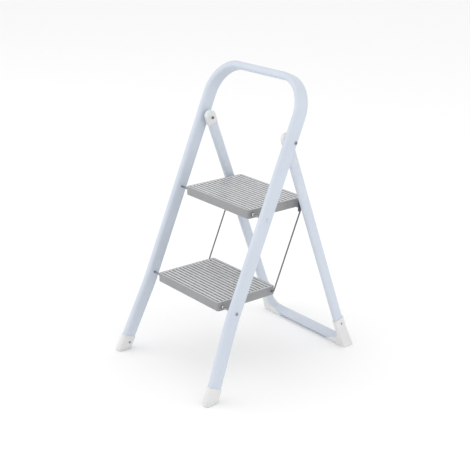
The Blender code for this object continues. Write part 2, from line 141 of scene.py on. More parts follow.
def makeMouldGrain():
    # fine leathery grain of an etched mould, with specks
    group, given, result = newShaderGroup("mouldGrain", {"Vector": None, "Scale": 900.0}, ["Height", "Tone"])
    inputs = {"Vector": given["Vector"], "Scale": given["Scale"]}
    cells = addNode(group, "ShaderNodeTexVoronoi", inputs, feature="SMOOTH_F1")
    cloud = noise(group, given["Vector"], given["Scale"], 4.0)
    group.links.new(sums(group, "MULTIPLY", cells.outputs["Distance"], cloud), result["Height"])
    group.links.new(noise(group, given["Vector"], 26.0, 5.0), result["Tone"])
    return group


def makeEdgeWear():
    # rubbed spots that gather on outward edges
    inputs = {"Vector": None, "Start": 0.53, "Width": 0.05, "Breakup": 120.0}
    group, given, result = newShaderGroup("edgeWear", inputs, ["Mask"])
    pointiness = addNode(group, "ShaderNodeNewGeometry").outputs["Pointiness"]
    end = sums(group, "ADD", given["Start"], given["Width"])
    edge = spread(group, pointiness, 0.0, 1.0, given["Start"], end)
    spots = spread(group, noise(group, given["Vector"], given["Breakup"], 6.0), 0.0, 1.0, 0.48, 0.62)
    group.links.new(sums(group, "MULTIPLY", edge, spots), result["Mask"])
    return group


def makeSettledDust():
    # a thin film on faces that look up
    group, given, result = newShaderGroup("settledDust", {"Vector": None, "Amount": 0.3}, ["Mask"])
    normal = addNode(group, "ShaderNodeNewGeometry").outputs["Normal"]
    height = addNode(group, "ShaderNodeSeparateXYZ", {0: normal}).outputs["Z"]
    upward = spread(group, height, 0.0, 1.0, 0.35, 1.0)
    patch = spread(group, noise(group, given["Vector"], 60.0, 7.0), 0.0, 1.0, 0.35, 0.7)
    film = sums(group, "MULTIPLY", sums(group, "MULTIPLY", upward, patch), given["Amount"])
    group.links.new(film, result["Mask"])
    return group


def makeDrawLines():
    # fine lines that a die leaves along a drawn rod; the vector comes in already stretched
    group, given, result = newShaderGroup("drawLines", {"Vector": None}, ["Height", "Tone"])
    group.links.new(noise(group, given["Vector"], 1.0, 6.0), result["Height"])
    group.links.new(noise(group, given["Vector"], 0.13, 3.0), result["Tone"])
    return group


coatRipple = makeCoatRipple()
mouldGrain = makeMouldGrain()
edgeWear = makeEdgeWear()
settledDust = makeSettledDust()
drawLines = makeDrawLines()
print("shader groups ready")


# ---- materials ----

def newMaterial(name, constants):
    material = bpy.data.materials.new(name)
    material.use_nodes = True
    surface = material.node_tree.nodes["Principled BSDF"]
    for socket, value in constants.items():
        surface.inputs[socket].default_value = value
    return material, material.node_tree, surface


def useGroup(tree, group, inputs):
    return addNode(tree, "ShaderNodeGroup", inputs, node_tree=group).outputs


def mixColours(tree, share, first, second):
    node = addNode(tree, "ShaderNodeMix", data_type="RGBA")
    for name, kind, value in (("Factor", "VALUE", share), ("A", "RGBA", first), ("B", "RGBA", second)):
        socket = next(s for s in node.inputs if s.name == name and s.type == kind)
        feed(tree, socket, value)
    return next(s for s in node.outputs if s.type == "RGBA")


def raised(tree, height, strength, distance):
    inputs = {"Height": height, "Strength": strength, "Distance": distance}
    return addNode(tree, "ShaderNodeBump", inputs).outputs["Normal"]


def finishSurface(tree, surface, colour, roughness, normal):
    tree.links.new(colour, surface.inputs["Base Color"])
    tree.links.new(roughness, surface.inputs["Roughness"])
    tree.links.new(normal, surface.inputs["Normal"])


powderCoat = {
    "colour": (0.575, 0.625, 0.700, 1),
    "shade": (0.540, 0.590, 0.670, 1),
    "rubbed": (0.68, 0.70, 0.74, 1),
    "dust": (0.64, 0.64, 0.63, 1),
    "roughness": (0.42, 0.54),
    "peelScale": 460.0,
    "peelStrength": 0.35,
    "peelDepth": 0.00006,
    "constants": {"Coat Weight": 0.06, "Coat Roughness": 0.25, "Specular IOR Level": 0.4},
}


def makePowderCoat():
    material, tree, surface = newMaterial("powderCoat", powderCoat["constants"])
    spot = addNode(tree, "ShaderNodeTexCoord").outputs["Object"]
    ripple = useGroup(tree, coatRipple, {"Vector": spot, "Scale": powderCoat["peelScale"]})
    wear = useGroup(tree, edgeWear, {"Vector": spot, "Start": 0.54, "Width": 0.08, "Breakup": 70.0})
    dust = useGroup(tree, settledDust, {"Vector": spot, "Amount": 0.25})
    drift = spread(tree, ripple["Tone"], 0.0, 1.0)
    colour = mixColours(tree, drift, powderCoat["colour"], powderCoat["shade"])
    colour = mixColours(tree, wear["Mask"], colour, powderCoat["rubbed"])
    colour = mixColours(tree, dust["Mask"], colour, powderCoat["dust"])
    roughness = spread(tree, ripple["Tone"], *powderCoat["roughness"])
    normal = raised(tree, ripple["Height"], powderCoat["peelStrength"], powderCoat["peelDepth"])
    finishSurface(tree, surface, colour, roughness, normal)
    return material


moulded = {
    "trayGrey": {
        "colour": (0.25, 0.254, 0.26, 1),
        "paler": (0.285, 0.289, 0.295, 1),
        "rubbed": (0.36, 0.36, 0.36, 1),
        "roughness": (0.36, 0.50),
        "grainScale": 1100.0,
        "grainDepth": 0.00010,
        "constants": {"Specular IOR Level": 0.45},
    },
    "milkyPlastic": {
        "colour": (0.665, 0.672, 0.672, 1),
        "paler": (0.71, 0.717, 0.717, 1),
        "rubbed": (0.77, 0.77, 0.76, 1),
        "roughness": (0.34, 0.48),
        "grainScale": 700.0,
        "grainDepth": 0.00005,
        "constants": {"Subsurface Weight": 0.25, "Subsurface Scale": 0.004, "Specular IOR Level": 0.45},
    },
    # near-black material used only for the rings round the axle bushes, which are painted shade of the holes
    # there
    "paintedShadeNylon": {
        "colour": (0.055, 0.056, 0.060, 1),
        "paler": (0.075, 0.076, 0.080, 1),
        "rubbed": (0.16, 0.16, 0.16, 1),
        "roughness": (0.35, 0.5),
        "grainScale": 900.0,
        "grainDepth": 0.00004,
        "constants": {},
    },
}
mouldedDust = (0.55, 0.54, 0.52, 1)


def makeMoulded(name):
    look = moulded[name]
    material, tree, surface = newMaterial(name, look["constants"])
    spot = addNode(tree, "ShaderNodeTexCoord").outputs["Object"]
    grain = useGroup(tree, mouldGrain, {"Vector": spot, "Scale": look["grainScale"]})
    wear = useGroup(tree, edgeWear, {"Vector": spot, "Start": 0.54, "Width": 0.08, "Breakup": 160.0})
    dust = useGroup(tree, settledDust, {"Vector": spot, "Amount": 0.15})
    colour = mixColours(tree, spread(tree, grain["Tone"], 0.0, 1.0), look["colour"], look["paler"])
    colour = mixColours(tree, wear["Mask"], colour, look["rubbed"])
    colour = mixColours(tree, dust["Mask"], colour, mouldedDust)
    roughness = spread(tree, grain["Tone"], *look["roughness"])
    normal = raised(tree, grain["Height"], 0.5, look["grainDepth"])
    finishSurface(tree, surface, colour, roughness, normal)
    return material


ribRubber = {
    # these two colours split the rubber's one colour into painted shade down in the grooves and a painted
    # highlight on the rib crowns
    "paintedGrooveShade": (0.13, 0.132, 0.135, 1),
    "crown": (0.565, 0.572, 0.58, 1),
    "scuff": (0.62, 0.625, 0.625, 1),
    "cloud": 0.07,
    "roughness": (0.17, 0.26),
    "grainScale": 1500.0,
    "grainDepth": 0.00002,
}


def makeRibRubber():
    material, tree, surface = newMaterial("ribRubber", {"Specular IOR Level": 0.5})
    spot = addNode(tree, "ShaderNodeTexCoord").outputs["Object"]
    height = addNode(tree, "ShaderNodeAttribute", attribute_name="ribTop").outputs["Fac"]
    grain = useGroup(tree, mouldGrain, {"Vector": spot, "Scale": ribRubber["grainScale"]})
    scuff = useGroup(tree, edgeWear, {"Vector": spot, "Start": 0.56, "Width": 0.12, "Breakup": 90.0})
    # painted light: by rib height, the grooves get a near-black painted shade and the crowns a pale painted
    # highlight
    rise = spread(tree, height, 0.0, 1.0, 0.1, 0.6)
    colour = mixColours(tree, rise, ribRubber["paintedGrooveShade"], ribRubber["crown"])
    colour = mixColours(tree, scuff["Mask"], colour, ribRubber["scuff"])
    cloud = spread(tree, grain["Tone"], 0.0, ribRubber["cloud"])
    colour = mixColours(tree, cloud, colour, ribRubber["scuff"])
    roughness = spread(tree, grain["Tone"], *ribRubber["roughness"])
    normal = raised(tree, grain["Height"], 0.5, ribRubber["grainDepth"])
    finishSurface(tree, surface, colour, roughness, normal)
    return material


metals = {
    "crossRodSteel": {
        "colour": (0.30, 0.31, 0.33, 1),
        "stain": (0.17, 0.175, 0.185, 1),
        "roughness": (0.28, 0.45),
        "lean": 0.0,
        "stretch": (60.0, 2200.0, 2200.0),
    },
    "wireSteel": {
        "colour": (0.22, 0.225, 0.235, 1),
        "stain": (0.12, 0.122, 0.13, 1),
        "roughness": (0.30, 0.48),
        "lean": frontLean,
        "stretch": (2200.0, 2200.0, 60.0),
    },
    "screwSteel": {
        "colour": (0.36, 0.365, 0.38, 1),
        "stain": (0.20, 0.20, 0.21, 1),
        "roughness": (0.30, 0.46),
        "lean": 0.0,
        "stretch": (900.0, 900.0, 900.0),
    },
}
brightSteel = (0.42, 0.42, 0.43, 1)


def makeMetal(name):
    # the texture is stretched along the rod, and leans with it
    look = metals[name]
    material, tree, surface = newMaterial(name, {"Metallic": 0.85})
    spot = addNode(tree, "ShaderNodeTexCoord").outputs["Object"]
    turned = addNode(tree, "ShaderNodeMapping", {"Vector": spot, "Rotation": (look["lean"], 0, 0)})
    inputs = {"Vector": turned.outputs[0], "Scale": look["stretch"]}
    stretched = addNode(tree, "ShaderNodeMapping", inputs)
    lines = useGroup(tree, drawLines, {"Vector": stretched.outputs[0]})
    wear = useGroup(tree, edgeWear, {"Vector": spot, "Start": 0.55, "Width": 0.10, "Breakup": 300.0})
    colour = mixColours(tree, spread(tree, lines["Tone"], 0.0, 1.0), look["colour"], look["stain"])
    colour = mixColours(tree, wear["Mask"], colour, brightSteel)
    roughness = spread(tree, lines["Height"], *look["roughness"])
    normal = raised(tree, lines["Height"], 0.25, 0.00004)
    finishSurface(tree, surface, colour, roughness, normal)
    return material


hookPaint = {
    "colour": (0.075, 0.078, 0.085, 1),
    "paler": (0.10, 0.104, 0.112, 1),
    "rubbed": (0.26, 0.26, 0.27, 1),
    "roughness": (0.32, 0.48),
    "constants": {"Metallic": 0.0, "Coat Weight": 0.15},
}


def makeHookPaint():
    material, tree, surface = newMaterial("hookPaint", hookPaint["constants"])
    spot = addNode(tree, "ShaderNodeTexCoord").outputs["Object"]
    ripple = useGroup(tree, coatRipple, {"Vector": spot, "Scale": 800.0})
    wear = useGroup(tree, edgeWear, {"Vector": spot, "Start": 0.53, "Width": 0.06, "Breakup": 240.0})
    drift = spread(tree, ripple["Tone"], 0.0, 1.0)
    colour = mixColours(tree, drift, hookPaint["colour"], hookPaint["paler"])
    colour = mixColours(tree, wear["Mask"], colour, hookPaint["rubbed"])
    roughness = spread(tree, ripple["Tone"], *hookPaint["roughness"])
    normal = raised(tree, ripple["Height"], 0.4, 0.00005)
    finishSurface(tree, surface, colour, roughness, normal)
    return material


materials = {"powderCoat": makePowderCoat(), "ribRubber": makeRibRubber(), "hookPaint": makeHookPaint()}
for plastic in moulded:
    materials[plastic] = makeMoulded(plastic)
for metal in metals:
    materials[metal] = makeMetal(metal)
print("materials ready:", ", ".join(sorted(materials)))


# ---- geometry node trees ----

def newGeometryTree(name, numbers, wholes=(), objects=()):
    tree = bpy.data.node_groups.new(name, "GeometryNodeTree")
    tree.interface.new_socket("Geometry", in_out="INPUT", socket_type="NodeSocketGeometry")
    tree.interface.new_socket("Geometry", in_out="OUTPUT", socket_type="NodeSocketGeometry")
    for label in numbers:
        tree.interface.new_socket(label, in_out="INPUT", socket_type="NodeSocketFloat")
    for label in wholes:
        tree.interface.new_socket(label, in_out="INPUT", socket_type="NodeSocketInt")
    for label in objects:
        tree.interface.new_socket(label, in_out="INPUT", socket_type="NodeSocketObject")
    tree.interface.new_socket("Material", in_out="INPUT", socket_type="NodeSocketMaterial")
    return tree, tree.nodes.new("NodeGroupInput").outputs


def endTree(tree, given, geometry):
    whole = addNode(tree, "GeometryNodeRealizeInstances", {"Geometry": geometry})
    painted = addNode(
        tree, "GeometryNodeSetMaterial", {"Geometry": whole.outputs[0], "Material": given["Material"]}
    )
    result = tree.nodes.new("NodeGroupOutput")
    tree.links.new(painted.outputs[0], result.inputs[0])
    return tree


def point(tree, x=0.0, y=0.0, z=0.0):
    return addNode(tree, "ShaderNodeCombineXYZ", {"X": x, "Y": y, "Z": z}).outputs[0]


def filleted(tree, curve, steps, radius):
    inputs = {"Curve": curve, "Count": steps, "Radius": radius, "Limit Radius": True}
    return addNode(tree, "GeometryNodeFilletCurve", inputs, mode="POLY").outputs[0]


def roundedFrame(tree, width, height, corner, steps):
    sizes = {"Width": width, "Height": height}
    shape = addNode(tree, "GeometryNodeCurvePrimitiveQuadrilateral", sizes)
    return filleted(tree, shape.outputs[0], steps, corner)


def swept(tree, curve, section, capped):
    inputs = {"Curve": curve, "Profile Curve": section, "Fill Caps": capped}
    return addNode(tree, "GeometryNodeCurveToMesh", inputs).outputs[0]


def rowOf(tree, part, count, start, step):
    inputs = {"Count": count, "Start Location": start, "Offset": step}
    row = addNode(tree, "GeometryNodeMeshLine", inputs, mode="OFFSET")
    inputs = {"Points": row.outputs[0], "Instance": part}
    return addNode(tree, "GeometryNodeInstanceOnPoints", inputs).outputs[0]


def makeTubeTree():
    # a tube or a rod bent along the corner points that come in; each point carries its bend radius
    numbers = ["Width", "Depth", "Corner"]
    tree, given = newGeometryTree("tubeAlongPath", numbers, ["Bend Steps", "Corner Steps"])
    radius = addNode(tree, "GeometryNodeInputNamedAttribute", {"Name": "bendRadius"}, data_type="FLOAT")
    line = addNode(tree, "GeometryNodeMeshToCurve", {"Mesh": given["Geometry"]})
    bent = filleted(tree, line.outputs[0], given["Bend Steps"], radius.outputs["Attribute"])
    level = addNode(tree, "GeometryNodeSetCurveNormal", {"Curve": bent}, mode="Z_UP")
    section = roundedFrame(tree, given["Width"], given["Depth"], given["Corner"], given["Corner Steps"])
    return endTree(tree, given, swept(tree, level.outputs[0], section, True))


def makeSpotTree():
    # one part on each point, its axis along the point's facing, turned by chance about that axis
    tree, given = newGeometryTree("partsOnSpots", ["Turn"], ["Seed"], ["Part"])
    inputs = {"Name": "facing"}
    facing = addNode(tree, "GeometryNodeInputNamedAttribute", inputs, data_type="FLOAT_VECTOR")
    part = addNode(tree, "GeometryNodeObjectInfo", {"Object": given["Part"]})
    inputs = {"Vector": facing.outputs["Attribute"]}
    aimed = addNode(tree, "FunctionNodeAlignRotationToVector", inputs, axis="Z")
    chance = addNode(tree, "FunctionNodeRandomValue", {"Seed": given["Seed"]}, data_type="FLOAT")
    angle = sums(tree, "MULTIPLY", chance.outputs["Value"], given["Turn"])
    spin = addNode(tree, "FunctionNodeAxisAngleToRotation", {"Axis": (0, 0, 1), "Angle": angle})
    inputs = {"Rotation": aimed.outputs[0], "Rotate By": spin.outputs[0]}
    turned = addNode(tree, "FunctionNodeRotateRotation", inputs, rotation_space="LOCAL")
    placed = addNode(
        tree,
        "GeometryNodeInstanceOnPoints",
        {"Points": given["Geometry"], "Instance": part.outputs["Geometry"], "Rotation": turned.outputs[0]},
    )
    return endTree(tree, given, placed.outputs[0])


def makeMatTree():
    # a slab with a rounded rim and a row of ribs; its top is at height 0 and its middle at the origin
    numbers = ["Width", "Depth", "Corner", "Thickness", "Rim", "Groove"]
    numbers += ["Rib Pitch", "Rib Width", "Rib Length", "Crown"]
    tree, given = newGeometryTree("ribbedMat", numbers, ["Rib Count", "Steps"])
    under = sums(tree, "MULTIPLY", given["Thickness"], -1.0)
    floor = sums(tree, "MULTIPLY", given["Groove"], -1.0)
    inputs = {"Start": point(tree, z=under), "End": point(tree, z=floor)}
    upright = addNode(tree, "GeometryNodeCurvePrimitiveLine", inputs)
    outline = roundedFrame(tree, given["Width"], given["Depth"], given["Corner"], given["Steps"])
    slab = swept(tree, upright.outputs[0], outline, True)

    tall = sums(tree, "MULTIPLY", given["Groove"], 1.6)
    middle = sums(tree, "MULTIPLY", tall, -0.5)
    rimPath = roundedFrame(
        tree,
        sums(tree, "SUBTRACT", given["Width"], given["Rim"]),
        sums(tree, "SUBTRACT", given["Depth"], given["Rim"]),
        sums(tree, "SUBTRACT", given["Corner"], sums(tree, "MULTIPLY", given["Rim"], 0.5)),
        given["Steps"],
    )
    rimLevel = addNode(tree, "GeometryNodeSetCurveNormal", {"Curve": rimPath}, mode="Z_UP")
    rimSection = roundedFrame(tree, given["Rim"], tall, given["Crown"], given["Steps"])
    rim = swept(tree, rimLevel.outputs[0], rimSection, False)
    inputs = {"Geometry": rim, "Translation": point(tree, z=middle)}
    rimPlaced = addNode(tree, "GeometryNodeTransform", inputs)

    half = sums(tree, "MULTIPLY", given["Rib Length"], 0.5)
    inputs = {"Start": point(tree, x=sums(tree, "MULTIPLY", half, -1.0)), "End": point(tree, x=half)}
    ribLine = addNode(tree, "GeometryNodeCurvePrimitiveLine", inputs)
    ribSection = roundedFrame(tree, given["Rib Width"], tall, given["Crown"], given["Steps"])
    rib = swept(tree, ribLine.outputs[0], ribSection, True)
    gaps = sums(tree, "SUBTRACT", given["Rib Count"], 1.0)
    first = sums(tree, "MULTIPLY", sums(tree, "MULTIPLY", gaps, given["Rib Pitch"]), -0.5)
    start = point(tree, y=first, z=middle)
    ribRow = rowOf(tree, rib, given["Rib Count"], start, point(tree, y=given["Rib Pitch"]))
    ribsMade = addNode(tree, "GeometryNodeRealizeInstances", {"Geometry": ribRow})

    whole = tree.nodes.new("GeometryNodeJoinGeometry")
    for piece in (slab, rimPlaced.outputs[0], ribsMade.outputs[0]):
        tree.links.new(piece, whole.inputs[0])
    # how high each point is between the grooves and the crowns, for the painted shade in the grooves and the
    # painted highlight on the crowns
    place = addNode(tree, "GeometryNodeInputPosition")
    height = addNode(tree, "ShaderNodeSeparateXYZ", {0: place.outputs[0]}).outputs["Z"]
    share = spread(tree, height, 0.0, 1.0, floor, 0.0)
    marked = addNode(
        tree,
        "GeometryNodeStoreNamedAttribute",
        {"Geometry": whole.outputs[0], "Name": "ribTop", "Value": share},
        data_type="FLOAT",
        domain="POINT",
    )
    return endTree(tree, given, marked.outputs[0])


def makeBarTree():
    # a row of straight bars, the stiffening webs under a tread
    tree, given = newGeometryTree("rowOfBars", ["Bar Width", "Bar Length", "Bar Height", "Pitch"], ["Count"])
    size = point(tree, given["Bar Width"], given["Bar Length"], given["Bar Height"])
    bar = addNode(tree, "GeometryNodeMeshCube", {"Size": size})
    half = sums(tree, "MULTIPLY", sums(tree, "SUBTRACT", given["Count"], 1.0), -0.5)
    start = point(tree, x=sums(tree, "MULTIPLY", half, given["Pitch"]))
    step = point(tree, x=given["Pitch"])
    return endTree(tree, given, rowOf(tree, bar.outputs[0], given["Count"], start, step))


tubeTree = makeTubeTree()
spotTree = makeSpotTree()
matTree = makeMatTree()
barTree = makeBarTree()
print("geometry trees ready")


# ---- making pieces ----

def finishMesh(mesh, place):
    data = bmesh.new()
    data.from_mesh(mesh)
    bmesh.ops.remove_doubles(data, verts=data.verts, dist=1e-6)
    bmesh.ops.recalc_face_normals(data, faces=data.faces)
    data.to_mesh(mesh)
    data.free()
    if place is not None:
        mesh.transform(place)
    mesh.shade_smooth()
    mesh.set_sharp_from_angle(angle=math.radians(34.0))


def bakeTree(name, tree, inputs, source=None, place=None):
    piece = bpy.data.objects.new(name, source or bpy.data.meshes.new(name + "Start"))
    bpy.context.scene.collection.objects.link(piece)
    modifier = piece.modifiers.new(tree.name, "NODES")
    modifier.node_group = tree
    for socket in tree.interface.items_tree:
        if socket.item_type == "SOCKET" and socket.in_out == "INPUT" and socket.name in inputs:
            modifier[socket.identifier] = inputs[socket.name]
    graph = bpy.context.evaluated_depsgraph_get()
    mesh = bpy.data.meshes.new_from_object(piece.evaluated_get(graph), depsgraph=graph)
    piece.modifiers.remove(modifier)
    piece.data = mesh
    mesh.name = name
    finishMesh(mesh, place)
    return piece


def pieceFrom(name, data, material, place=None):
    mesh = bpy.data.meshes.new(name)
    data.to_mesh(mesh)
    data.free()
    mesh.materials.append(materials[material])
    piece = bpy.data.objects.new(name, mesh)
    bpy.context.scene.collection.objects.link(piece)
    finishMesh(mesh, place)
    return piece


def settle(piece, body, slotName, *nodes):
    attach(piece, body)
    if nodes:
        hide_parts(*nodes)


def pathMesh(name, corners):
    # a run of (x, y, bend radius) corners in the plane of the path
    mesh = bpy.data.meshes.new(name)
    edges = [(i, i + 1) for i in range(len(corners) - 1)]
    mesh.from_pydata([(x, y, 0) for x, y, radius in corners], edges, [])
    bend = mesh.attributes.new("bendRadius", "FLOAT", "POINT")
    bend.data.foreach_set("value", [radius for x, y, radius in corners])
    return mesh


def tubePiece(name, corners, section, material, place, bendSteps, cornerSteps):
    # section is the tube's width, depth and corner radius
    inputs = dict(zip(("Width", "Depth", "Corner"), section))
    inputs["Bend Steps"] = bendSteps
    inputs["Corner Steps"] = cornerSteps
    inputs["Material"] = materials[material]
    return bakeTree(name, tubeTree, inputs, pathMesh(name + "Path", corners), place)


def partsOn(name, part, spots, material, seed=1, turn=0.0):
    # spots are (place, facing) pairs; the part is used up
    mesh = bpy.data.meshes.new(name + "Spots")
    mesh.from_pydata([place for place, facing in spots], [], [])
    facings = mesh.attributes.new("facing", "FLOAT_VECTOR", "POINT")
    facings.data.foreach_set("vector", [value for place, facing in spots for value in facing])
    inputs = {"Part": part, "Seed": seed, "Turn": turn, "Material": materials[material]}
    piece = bakeTree(name, spotTree, inputs, mesh)
    bpy.data.objects.remove(part)
    return piece


def roundedOutline(corners, steps):
    # closed outline from (x, y, radius) corners, each turned into an arc
    points = []
    for i, (x, y, radius) in enumerate(corners):
        here = Vector((x, y))
        before = (Vector(corners[i - 1][:2]) - here).normalized()
        after = (Vector(corners[(i + 1) % len(corners)][:2]) - here).normalized()
        half = before.angle(after) / 2
        middle = here + (before + after).normalized() * (radius / math.sin(half))
        start = here + before * (radius / math.tan(half)) - middle
        end = here + after * (radius / math.tan(half)) - middle
        turn = start.angle_signed(end)
        for step in range(steps + 1):
            points.append(middle + Matrix.Rotation(-turn * step / steps, 2) @ start)
    area = sum(a.x * b.y - b.x * a.y for a, b in zip(points, points[1:] + points[:1]))
    return points if area > 0 else points[::-1]


def boxOutline(halfWidth, halfDepth, corner, steps):
    quarters = ((1, -1), (1, 1), (-1, 1), (-1, -1))
    return roundedOutline([(x * halfWidth, y * halfDepth, corner) for x, y in quarters], steps)


def drawnIn(points, inset):
    # the outline moved inwards; it runs counter-clockwise, as all of them here do
    moved = []
    for i, here in enumerate(points):
        ahead = (points[(i + 1) % len(points)] - here).normalized()
        behind = (here - points[i - 1]).normalized()
        along = (ahead + behind).normalized()
        inward = Vector((-along.y, along.x))
        moved.append(here + inward * (inset / max(along.dot(ahead), 0.4)))
    return moved


def loft(rings, data=None, closed=True):
    data = data or bmesh.new()
    made = [[data.verts.new(spot) for spot in ring] for ring in rings]
    for first, second in zip(made, made[1:]):
        for i in range(len(first)):
            j = (i + 1) % len(first)
            data.faces.new((first[i], first[j], second[j], second[i]))
    if closed:
        data.faces.new(made[0][::-1])
        data.faces.new(made[-1])
    return data


def softRings(ringAt, low, high, edge, rise, steps):
    # rings from low to high with a quarter round at both ends; ringAt takes an inset and a height
    rings = []
    for step in range(steps + 1):
        turn = math.pi / 2 * step / steps
        rings.append(ringAt(edge * (1 - math.sin(turn)), low + rise * (1 - math.cos(turn))))
    return rings + [[(x, y, low + high - z) for x, y, z in ring] for ring in reversed(rings)]


def pillowPlate(outline, low, high, edge, steps):
    # a plate between two heights with rounded edges all round
    def ringAt(inset, height):
        return [(p.x, p.y, height) for p in drawnIn(outline, inset)]

    return loft(softRings(ringAt, low, high, edge, edge, steps))


def circle(radius, height, steps=40):
    turns = [2 * math.pi * i / steps for i in range(steps)]
    return [(radius * math.cos(turn), radius * math.sin(turn), height) for turn in turns]


def turnedPart(profile):
    # a turned part about its Z axis from (radius, height) pairs, bottom to top
    return loft([circle(radius, height) for radius, height in profile])


def washerPart(outer, inner, length, edge):
    # a ring that stands on height 0, open through its middle
    profile = [
        (inner, edge),
        (inner + edge, 0.0),
        (outer - edge, 0.0),
        (outer, edge),
        (outer, length - edge),
        (outer - edge, length),
        (inner + edge, length),
        (inner, length - edge),
        (inner, edge),
    ]
    return loft([circle(radius, height) for radius, height in profile], closed=False)


def domeProfile(radius, height, shank, depth, steps=7):
    # shank below height 0, a rounded head above it
    lip = height * 0.22
    profile = [(shank, -depth), (shank, 0.0), (radius * 0.97, 0.0), (radius, lip * 0.5)]
    for step in range(steps + 1):
        turn = math.pi / 2 * step / steps
        profile.append((max(radius * math.cos(turn), radius * 0.02), lip + (height - lip) * math.sin(turn)))
    return profile


def crossScrew(radius, height, shank, depth):
    # a pan head with a cross recess
    head = pieceFrom("screwHead", turnedPart(domeProfile(radius, height, shank, depth)), "screwSteel")
    cutter = bmesh.new()
    for turn in (0.0, math.pi / 2):
        wide = radius * 0.62
        thin = radius * 0.13
        rings = []
        for level, share in ((height * 0.30, 0.55), (height * 1.40, 1.15)):
            ring = [(wide * share, thin * share), (-wide * share, thin * share)]
            ring += [(-wide * share, -thin * share), (wide * share, -thin * share)]
            rings.append([Matrix.Rotation(turn, 3, "Z") @ Vector((x, y, level)) for x, y in ring])
        loft(rings, cutter)
    recess = pieceFrom("screwRecess", cutter, "screwSteel")
    cut = head.modifiers.new("recess", "BOOLEAN")
    cut.object = recess
    cut.use_self = True
    graph = bpy.context.evaluated_depsgraph_get()
    mesh = bpy.data.meshes.new_from_object(head.evaluated_get(graph), depsgraph=graph)
    head.modifiers.remove(cut)
    head.data = mesh
    bpy.data.objects.remove(recess)
    return head


# ---- frames of bent tube ----

frontTube = {
    "halfSpan": 0.1840,
    "width": 0.0190,
    "depth": 0.0380,
    "corner": 0.0080,
    "railAlong": 0.8505,
    "railBend": 0.0920,
    "spreadStart": 0.2150,
    "spreadSlope": 0.0916,
    "spreadBend": 0.35,
    "endAlong": 0.0125,
}
rearTube = {
    "halfSpan": 0.1600,
    "width": 0.0150,
    "depth": 0.0300,
    "corner": 0.0074,
    "bend": 0.0300,
    "crossbarHeight": 0.0133,
    "abovePivot": 0.0080,
}


def legX(along):
    # how far from the middle a front leg is, below its spread bend
    return frontTube["halfSpan"] + frontTube["spreadSlope"] * (frontTube["spreadStart"] - along)


def bentFrame(name, sizes, right, place, bendSteps):
    # one bent tube: the corners on the right, then the same ones mirrored
    left = [(-x, y, radius) for x, y, radius in reversed(right)]
    section = (sizes["width"], sizes["depth"], sizes["corner"])
    return tubePiece(name, right + left, section, "powderCoat", place, bendSteps, 9)


def frontFramePiece():
    half = frontTube["halfSpan"]
    end = frontTube["endAlong"]
    right = [
        (legX(end), end, 0.0),
        (half, frontTube["spreadStart"], frontTube["spreadBend"]),
        (half, frontTube["railAlong"], frontTube["railBend"]),
    ]
    piece = bentFrame("front_tube", frontTube, right, frontPlane, 28)
    settle(piece, "front", "painted_tube", "front_frame")


crossbarY = -(rearPivot.z - rearTube["crossbarHeight"]) / math.cos(rearLean)


def rearFramePiece():
    half = rearTube["halfSpan"]
    right = [(half, rearTube["abovePivot"], 0.0), (half, crossbarY, rearTube["bend"])]
    piece = bentFrame("rear_tube", rearTube, right, rearPlane, 18)
    settle(piece, "rear", "painted_tube", "rear_frame")


frontFramePiece()
rearFramePiece()
print("tube frames made")


# ---- axles, rear rod and wire links ----

rods = {"radius": 0.0030, "axleHalf": 0.1933, "rearHalf": 0.1570}
wire = {"radius": 0.0020, "bend": 0.0045, "pinReach": 0.0130}


def straightRod(name, centre, halfLength, body, node):
    ends = [(-halfLength, 0.0, 0.0), (halfLength, 0.0, 0.0)]
    section = (2 * rods["radius"], 2 * rods["radius"], rods["radius"])
    piece = tubePiece(name, ends, section, "crossRodSteel", Matrix.Translation(centre), 4, 8)
    settle(piece, body, "rod_steel", node)


def wirePiece(word, side):
    # a straight wire with a short pin turned inwards at each end
    inner = -side * wire["pinReach"]
    down = -axleStep.length
    bend = wire["bend"]
    link = [(inner, 0.0, 0.0), (0.0, 0.0, bend), (0.0, down, bend), (inner, down, 0.0)]
    section = (2 * wire["radius"], 2 * wire["radius"], wire["radius"])
    place = legPlane(jointSpot["wire_" + word + "_swing"], frontLean)
    piece = tubePiece("wire_" + word, link, section, "wireSteel", place, 10, 6)
    settle(piece, "wire_" + word, "rod_steel", "wire_link_" + word)


rearRodLow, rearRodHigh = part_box("rear_cross_rod")
rearRod = (rearRodLow + rearRodHigh) / 2
straightRod("lower_axle_rod", lowerAxle, rods["axleHalf"], "front", "lower_axle")
straightRod("upper_axle_rod", upperAxle, rods["axleHalf"], "front", "upper_axle")
straightRod("rear_rest_rod", rearRod, rods["rearHalf"], "rear", "rear_cross_rod")
for word, side in sides.items():
    wirePiece(word, side)
print("rods and wires made")


# ---- treads ----

tread = {
    "halfWidth": 0.1350,
    "front": -0.0152,
    "depth": 0.1914,
    "top": 0.0132,
    "bottom": -0.0099,
    "corner": 0.0080,
    "wall": 0.0015,
    "rim": 0.0021,
    "skirtRound": 0.0011,
    "matThickness": 0.0030,
    "webWidth": 0.0020,
    "webCount": 3,
    "webPitch": 0.0675,
    "webHeight": 0.0126,
}
ribs = {
    "Rib Count": 15,
    "Rib Pitch": 0.01155,
    "Rib Width": 0.0064,
    "Rib Length": 0.2550,
    "Groove": 0.0017,
    "Rim": 0.0044,
    "Crown": 0.0006,
    "Steps": 4,
}


def treadRing(inset, height):
    outline = boxOutline(tread["halfWidth"], tread["depth"] / 2, tread["corner"], 9)
    return [(p.x, p.y, height) for p in drawnIn(outline, inset)]


